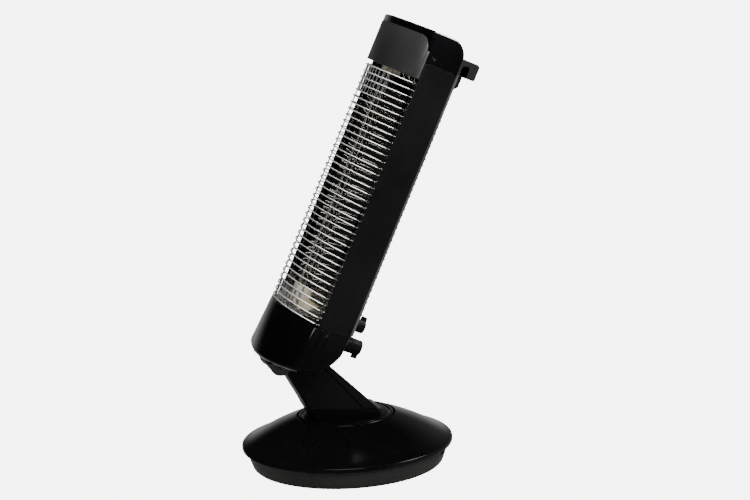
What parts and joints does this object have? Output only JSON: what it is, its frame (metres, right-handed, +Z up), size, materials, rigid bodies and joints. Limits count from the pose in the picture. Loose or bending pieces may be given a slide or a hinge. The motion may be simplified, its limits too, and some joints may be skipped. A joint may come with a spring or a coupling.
{
  "type": "infrared patio heater tower",
  "caption": "Leaning infrared heater head with a bowed wire guard on a tilting, swivelling neck over a round domed base, with rear grip and rear controls.",
  "frame": {"origin": "centre of the round base on the floor plane that its rubber ring stands on", "axes": "+Z up, -Y is the side that the heater faces, +X towards the right-hand side panel when the heater is seen from behind"},
  "size_m": [0.25, 0.2957, 0.5277],
  "materials": {
    "gloss_black": "high gloss black moulding",
    "base_grey": "satin dark grey moulding",
    "ballast_iron": "raw cast weight",
    "black_rubber": "soft black rubber",
    "zinc_steel": "zinc plated steel",
    "bearing_plastic": "natural acetal",
    "satin_black": "satin black paint",
    "bracket_paint": "satin dark grey paint",
    "black_screws": "blackened steel",
    "visor_grey": "satin graphite paint",
    "matte_plastic": "fine grain black plastic",
    "chrome_wire": "bright chrome plate",
    "polished_aluminium": "polished sheet",
    "quartz_glass": "frosted quartz",
    "filament": "dark wound element",
    "cream_ceramic": "unglazed steatite",
    "handle_plastic": "black plastic with a light edge",
    "bright_screws": "bright domed screw",
    "knob_plastic": "black plastic"
  },
  "bodies": {
    "base": {"base_cover": "gloss_black", "base_pan": "base_grey", "ballast_plate": "ballast_iron", "foot_ring": "black_rubber", "base_screws": "zinc_steel", "cord_gland": "black_rubber", "swivel_bush": "bearing_plastic"},
    "neck": {"turntable_disc": "gloss_black", "swivel_retainer": "zinc_steel", "retainer_screws": "zinc_steel", "neck_screws": "zinc_steel", "neck_shell": "satin_black", "neck_rear_cover": "satin_black", "friction_washers": "bearing_plastic"},
    "head": {"hinge_bracket": "bracket_paint", "bracket_screws": "black_screws", "hinge_pin": "black_screws", "hinge_nut": "black_screws", "bottom_cap": "gloss_black", "side_panel_left": "satin_black", "side_panel_right": "satin_black", "top_cap": "gloss_black", "visor": "visor_grey", "rear_cover": "satin_black", "control_box": "matte_plastic", "guard": "chrome_wire", "reflector": "polished_aluminium", "reflector_lower_end": "polished_aluminium", "reflector_upper_end": "polished_aluminium", "quartz_tube": "quartz_glass", "heating_element": "filament", "ceramic_holders": "cream_ceramic", "tube_brackets": "zinc_steel", "heat_shield": "zinc_steel", "chassis_rails": "zinc_steel", "handle": "handle_plastic", "handle_block": "matte_plastic", "handle_screws": "zinc_steel", "side_screws": "bright_screws", "heat_switch": "cream_ceramic", "timer": "matte_plastic", "terminal_block": "cream_ceramic", "thermal_cutout": "zinc_steel", "tilt_switch": "matte_plastic"},
    "heat_control": {"heat_knob": "knob_plastic", "heat_shaft": "zinc_steel"},
    "timer_control": {"timer_knob": "knob_plastic", "timer_shaft": "zinc_steel"}
  },
  "joints": [
    {"name": "neck_swivel", "type": "hinge", "parent": "base", "child": "neck", "pos_m": [0, 0, 0.0625], "axis": [0, 0, 1], "range_deg": [-70, 20]},
    {"name": "head_tilt", "type": "hinge", "parent": "neck", "child": "head", "pos_m": [0, -0.0818, 0.1363], "axis": [1, 0, 0], "range_deg": [0, 30]},
    {"name": "heat_knob_turn", "type": "hinge", "parent": "head", "child": "heat_control", "pos_m": [0, 0.00523, 0.17309], "axis": [0, -0.9011, 0.4337], "range_deg": [0, 180]},
    {"name": "timer_knob_turn", "type": "hinge", "parent": "head", "child": "timer_control", "pos_m": [0, -0.00561, 0.15056], "axis": [0, -0.9011, 0.4337], "range_deg": [0, 300]}
  ]
}
